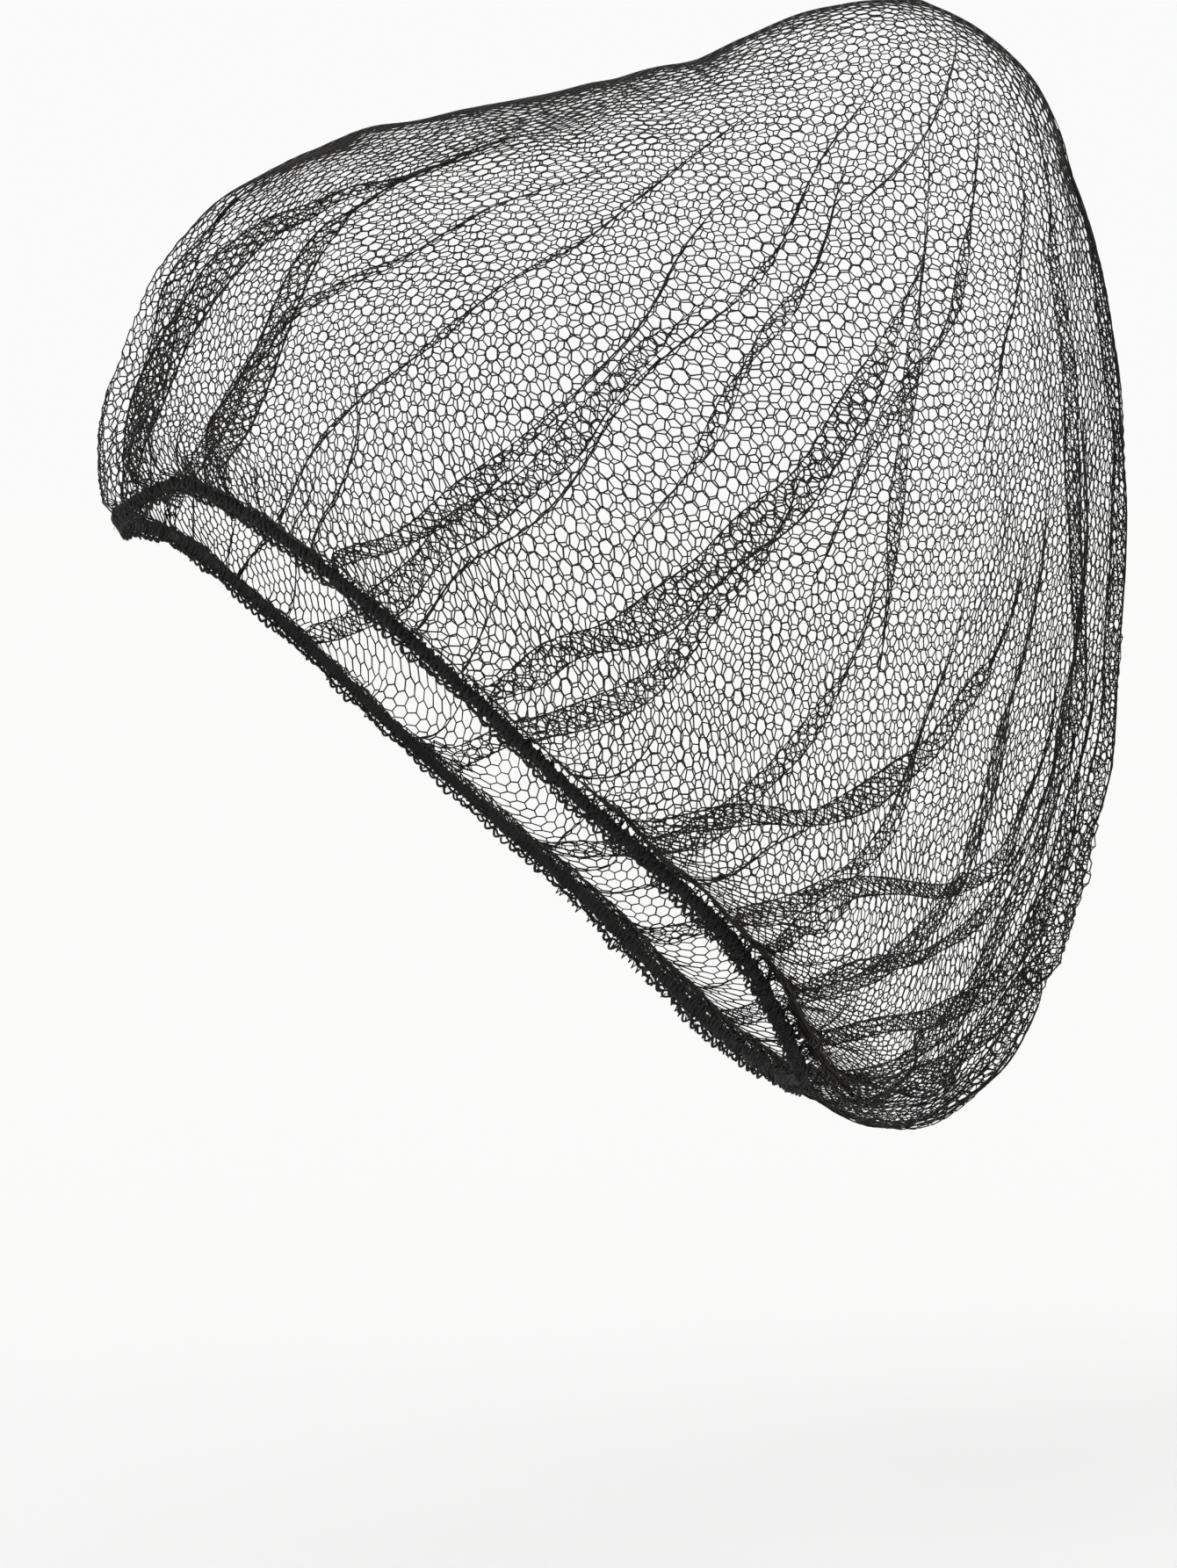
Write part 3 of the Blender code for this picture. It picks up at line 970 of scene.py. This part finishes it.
class HairnetElasticSettings(bpy.types.PropertyGroup):
    """The crocheted elastic loop"""

    stitches: IntProperty(
        name="Stitches", description="Stitches round the loop", default=212, min=20
    )
    cord: FloatProperty(
        name="Cord", description="Radius of a strand of the plaited cord", default=0.0006, unit="LENGTH"
    )
    wrap: FloatProperty(
        name="Wrap", description="Radius of the yarn that is wound round the cord",
        default=0.00036, unit="LENGTH",
    )
    fibres: IntProperty(
        name="Fibres", description="Loose fibres that stand out of the yarn", default=1000
    )
    seed: IntProperty(name="Seed", description="Picks how uneven the crochet is", default=21)
    colour: FloatVectorProperty(
        name="Colour", description="Colour of the yarn",
        default=(0.004, 0.0038, 0.0038), subtype="COLOR",
    )
    faded: FloatVectorProperty(
        name="Faded colour", description="Colour of the worn yarn",
        default=(0.018, 0.016, 0.015), subtype="COLOR",
    )


class HairnetStageSettings(bpy.types.PropertyGroup):
    """Floor, light and camera"""

    floor_level: FloatProperty(
        name="Floor", description="Height of the floor, from the loop's middle",
        default=-0.17, unit="LENGTH",
    )
    floor_colour: FloatVectorProperty(
        name="Floor colour", description="Colour of the floor",
        default=(0.84, 0.84, 0.835), subtype="COLOR",
    )
    distance: FloatProperty(
        name="Camera distance", description="From the camera to what it looks at",
        default=1.3, unit="LENGTH",
    )
    azimuth: FloatProperty(
        name="Camera turn", description="Angle from straight ahead round to the left",
        default=math.radians(75), subtype="ANGLE",
    )
    elevation: FloatProperty(
        name="Camera height", description="Angle above the level view",
        default=math.radians(3), subtype="ANGLE",
    )
    lens: FloatProperty(
        name="Lens", description="Focal length in millimetres for a frame 36 mm high", default=131.1
    )


# Operators


def add_piece(name, mesh, material, node):
    """A piece that rides on the hairnet and stands for one of its CAD nodes."""
    piece = bpy.data.objects.new(name, mesh)
    mesh.materials.append(material)
    bpy.context.scene.collection.objects.link(piece)
    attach(piece, "root")
    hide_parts(node)
    return piece


class HAIRNET_OT_add_net(bpy.types.Operator):
    """Pleat a disc of hexagonal nylon mesh round the worn bag"""

    bl_idname = "hairnet.add_net"
    bl_label = "Add the net"

    hem = 0.0030  # how far the mesh runs down behind the elastic
    parts = (
        ("net_front", -45, 45),
        ("net_left", 45, 135),
        ("net_back_left", 135, 180),
        ("net_back_right", -180, -135),
        ("net_right", -135, -45),
    )
    # How far knots lie from an even mesh, in pitches, one by one and a patch at a time
    uneven, drift, drift_patch = 0.022, 0.12, 0.03
    # How far a patch stands off the bag, and how much thicker or thinner its thread is
    slack, slack_patch = 0.0004, 0.022
    thick_and_thin, thick_patch = 0.12, 0.008

    def execute(self, context):
        settings = context.scene.hairnet_net
        cloth = PleatedCloth(settings)
        widest = cloth.length.max() + self.hem
        flat, pairs = hexagon_knots(settings.pitch, math.degrees(settings.lean), widest)
        random = np.random.default_rng(settings.seed)
        uneven = random.normal(size=flat.shape) * settings.pitch * self.uneven
        spots = np.column_stack((flat, np.zeros(len(flat))))
        shifts = np.stack([soft_noise(spots, self.drift_patch, seed) for seed in (1, 2)], axis=1)
        flat = flat + uneven + shifts * settings.pitch * self.drift
        radius, turn = disc_places(flat)
        edge = np.interp(turn, TURNS, cloth.length) + self.hem
        flat, pairs = kept_net(flat, pairs, radius < edge)
        radius, turn = disc_places(flat)
        knots, normals = cloth.place(radius, turn)
        slack = soft_noise(knots, self.slack_patch, 3) * self.slack
        knots = knots + normals * slack[:, None]
        change = soft_noise(knots, self.thick_patch, 4)
        width = settings.thread * (1 + self.thick_and_thin * change)
        points = thread_points(knots, normals, pairs, width).reshape(-1, 3)
        finish = nylon_material(settings)
        for name, low, high in self.parts:
            chosen = [(turn[a] - low) % 360 < high - low for a, _ in pairs]
            quads = thread_quads(pairs, chosen)
            if len(quads) == 0:
                raise RuntimeError(f"{name} has no threads")
            mesh = mesh_from_quads(name, *tidy_points(points, quads))
            add_piece(name, mesh, finish, "net")
        return {"FINISHED"}


class HAIRNET_OT_add_elastic(bpy.types.Operator):
    """Crochet the elastic loop: a plaited cord, wraps round it, edge loops and loose fibres"""

    bl_idname = "hairnet.add_elastic"
    bl_label = "Add the elastic"

    def execute(self, context):
        settings = context.scene.hairnet_elastic
        finish = elastic_material(settings)
        crochet = Crochet(settings)
        pieces = (
            ("elastic_cord", crochet.cord()),
            ("elastic_wraps", crochet.wraps()),
            ("elastic_edge", crochet.edge()),
            ("elastic_fibres", crochet.fibres()),
        )
        for name, yarns in pieces:
            points, quads, places = joined(yarns)
            mesh = mesh_from_quads(name, points, quads, places)
            add_piece(name, mesh, finish, "elastic_band")
        return {"FINISHED"}


class HAIRNET_OT_add_stage(bpy.types.Operator):
    """Lay a pale floor and set soft lights and the camera"""

    bl_idname = "hairnet.add_stage"
    bl_label = "Add the stage"

    target = (0.00776, 0.02898, 0.0063)  # what the camera looks at
    lamps = (
        # name, place, softness in degrees, power
        ("Key light", (1.3, -1.5, 2.0), 35, 0.50),
        ("Fill light", (1.6, 1.4, 1.2), 60, 0.18),
        ("Back light", (-1.4, 0.8, 1.6), 60, 0.20),
    )

    def execute(self, context):
        settings = context.scene.hairnet_stage
        self.floor(settings)
        self.lights(context)
        self.camera(context, settings)
        context.scene.view_settings.view_transform = "Standard"
        return {"FINISHED"}

    def floor(self, settings):
        """A pale floor that reaches out of sight."""
        bpy.ops.mesh.primitive_circle_add(
            vertices=96, radius=60, fill_type="NGON", location=(0, 0, settings.floor_level)
        )
        floor = bpy.context.object
        floor.name = "floor"
        made = bpy.data.materials.new("Pale floor")
        made.use_nodes = True
        set_inputs(
            made.node_tree.nodes["Principled BSDF"],
            {"Base Color": (*settings.floor_colour, 1), "Roughness": 0.9, "Specular IOR Level": 0},
        )
        floor.data.materials.append(made)

    def lights(self, context):
        """Even white light from all round, and three soft lamps."""
        world = bpy.data.worlds.new("Studio")
        world.use_nodes = True
        sky = world.node_tree.nodes["Background"]
        set_inputs(sky, {"Color": (1, 1, 1, 1), "Strength": 0.96})
        context.scene.world = world
        for name, place, softness, power in self.lamps:
            lamp = bpy.data.lights.new(name, "SUN")
            lamp.angle = math.radians(softness)
            lamp.energy = power
            self.aim(context, bpy.data.objects.new(name, lamp), Vector(place))

    def aim(self, context, thing, place):
        """Puts a light or the camera in its place, turned to the target."""
        thing.location = place
        thing.rotation_euler = (Vector(self.target) - place).to_track_quat("-Z", "Y").to_euler()
        context.scene.collection.objects.link(thing)

    def camera(self, context, settings):
        """The camera, at its turn and height round the target."""
        level = math.cos(settings.elevation) * settings.distance
        place = Vector(self.target) + Vector(
            (
                math.sin(settings.azimuth) * level,
                -math.cos(settings.azimuth) * level,
                math.sin(settings.elevation) * settings.distance,
            )
        )
        lens = bpy.data.cameras.new("Camera")
        lens.sensor_fit = "VERTICAL"
        lens.sensor_height = 36
        lens.lens = settings.lens
        lens.clip_end = 200
        camera = bpy.data.objects.new("Camera", lens)
        self.aim(context, camera, place)
        context.scene.camera = camera


class HAIRNET_PT_panel(bpy.types.Panel):
    """The hairnet's sizes and the buttons that add its pieces"""

    bl_label = "Hairnet"
    bl_idname = "HAIRNET_PT_panel"
    bl_space_type = "VIEW_3D"
    bl_region_type = "UI"
    bl_category = "Hairnet"

    def draw(self, context):
        layout = self.layout
        groups = (
            (context.scene.hairnet_net, HAIRNET_OT_add_net),
            (context.scene.hairnet_elastic, HAIRNET_OT_add_elastic),
            (context.scene.hairnet_stage, HAIRNET_OT_add_stage),
        )
        for settings, operator in groups:
            box = layout.box()
            for name in settings.__annotations__:
                box.prop(settings, name)
            box.operator(operator.bl_idname)


SETTINGS = (
    ("hairnet_net", HairnetNetSettings),
    ("hairnet_elastic", HairnetElasticSettings),
    ("hairnet_stage", HairnetStageSettings),
)
OTHER_CLASSES = (HAIRNET_OT_add_net, HAIRNET_OT_add_elastic, HAIRNET_OT_add_stage, HAIRNET_PT_panel)


def register():
    for name, group in SETTINGS:
        bpy.utils.register_class(group)
        setattr(bpy.types.Scene, name, PointerProperty(type=group))
    for made in OTHER_CLASSES:
        bpy.utils.register_class(made)


def unregister():
    for made in reversed(OTHER_CLASSES):
        bpy.utils.unregister_class(made)
    for name, group in reversed(SETTINGS):
        delattr(bpy.types.Scene, name)
        bpy.utils.unregister_class(group)


def main():
    register()
    bpy.ops.hairnet.add_net()
    bpy.ops.hairnet.add_elastic()
    bpy.ops.hairnet.add_stage()


if __name__ == "__main__":
    main()
